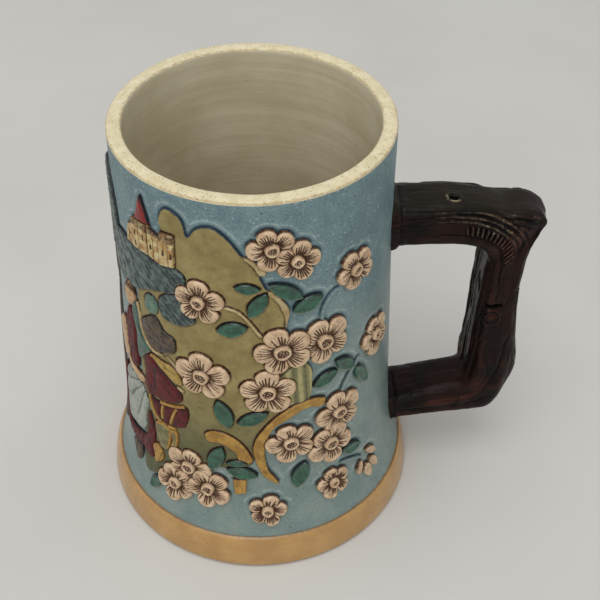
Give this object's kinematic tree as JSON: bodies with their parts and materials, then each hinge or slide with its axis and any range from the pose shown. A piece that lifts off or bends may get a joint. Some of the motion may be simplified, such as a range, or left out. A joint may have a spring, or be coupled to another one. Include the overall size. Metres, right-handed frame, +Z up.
{
  "type": "relief-decorated beer stein",
  "caption": "Straight-sided stoneware beer stein with a flared foot band, a lopped-branch handle and applied relief of blossom, leaves and a country scene.",
  "frame": {"origin": "on the stein's axis at the underside of the foot, in the plane of the table", "axes": "+Z up along the stein's axis; +X from the axis towards the handle; -Y faces the large spray of blossom"},
  "size_m": [0.119, 0.0888, 0.12],
  "materials": {
    "wall_glaze": "matt to satin grey-blue glaze, finely pitted",
    "inside_glaze": "smooth satin cream glaze",
    "foot_glaze": "glossy ochre glaze",
    "handle_glaze": "glossy dark brown glaze, reddish where thin",
    "blossom_glaze": "satin pinkish cream glaze, brown stain in the grooves",
    "leaf_glaze": "glossy deep green glaze",
    "ochre_glaze": "glossy ochre glaze",
    "cream_glaze": "satin cream glaze with brown stain",
    "olive_glaze": "satin olive glaze",
    "red_glaze": "satin dark red glaze",
    "brown_glaze": "satin dark brown glaze",
    "skin_glaze": "satin beige glaze",
    "dark_green_glaze": "satin slate-green glaze",
    "pale_blue_glaze": "satin pale grey-blue glaze"
  },
  "bodies": {
    "root": {"blossom_centre": "blossom_glaze", "blossom_centre_left": "blossom_glaze", "blossom_centre_right": "blossom_glaze", "blossom_cluster_left": "blossom_glaze", "blossom_cluster_lower": "blossom_glaze", "blossom_cluster_upper": "blossom_glaze", "blossom_low_middle": "blossom_glaze", "blossom_low_right": "blossom_glaze", "blossom_middle_pair_left": "blossom_glaze", "blossom_middle_pair_right": "blossom_glaze", "blossom_posy_left": "blossom_glaze", "blossom_posy_right": "blossom_glaze", "blossom_posy_top": "blossom_glaze", "blossom_rim_left": "blossom_glaze", "blossom_rim_right": "blossom_glaze", "blossom_upper_left": "blossom_glaze", "blossom_upper_right": "blossom_glaze", "blue_stems": "wall_glaze", "bud": "blossom_glaze", "bush": "dark_green_glaze", "castle_roof": "red_glaze", "castle_walls": "cream_glaze", "cream_stem": "cream_glaze", "crescent_far": "ochre_glaze", "crescent_large": "ochre_glaze", "crescent_small": "ochre_glaze", "far_blossoms": "blossom_glaze", "far_leaves": "leaf_glaze", "floor_disc": "inside_glaze", "foot_band": "foot_glaze", "handle": "handle_glaze", "hill_lower": "dark_green_glaze", "hill_upper": "dark_green_glaze", "leaves_centre": "leaf_glaze", "leaves_low_left": "leaf_glaze", "leaves_low_right": "leaf_glaze", "leaves_right": "leaf_glaze", "leaves_upper": "leaf_glaze", "man_breeches": "red_glaze", "man_coat": "red_glaze", "man_collar": "cream_glaze", "man_hat": "brown_glaze", "man_sash": "ochre_glaze", "man_shoes": "ochre_glaze", "man_sleeve": "dark_green_glaze", "man_stockings": "ochre_glaze", "man_straps": "ochre_glaze", "panel": "olive_glaze", "panel_far": "olive_glaze", "panel_fold": "cream_glaze", "panel_rolled_edge": "cream_glaze", "tree_crown": "dark_green_glaze", "tree_trunk": "brown_glaze", "vessel_wall": "wall_glaze", "woman_apron": "pale_blue_glaze", "woman_arm": "skin_glaze", "woman_bodice": "red_glaze", "woman_head": "skin_glaze", "woman_shoes": "brown_glaze", "woman_skirt": "red_glaze"}
  },
  "joints": []
}
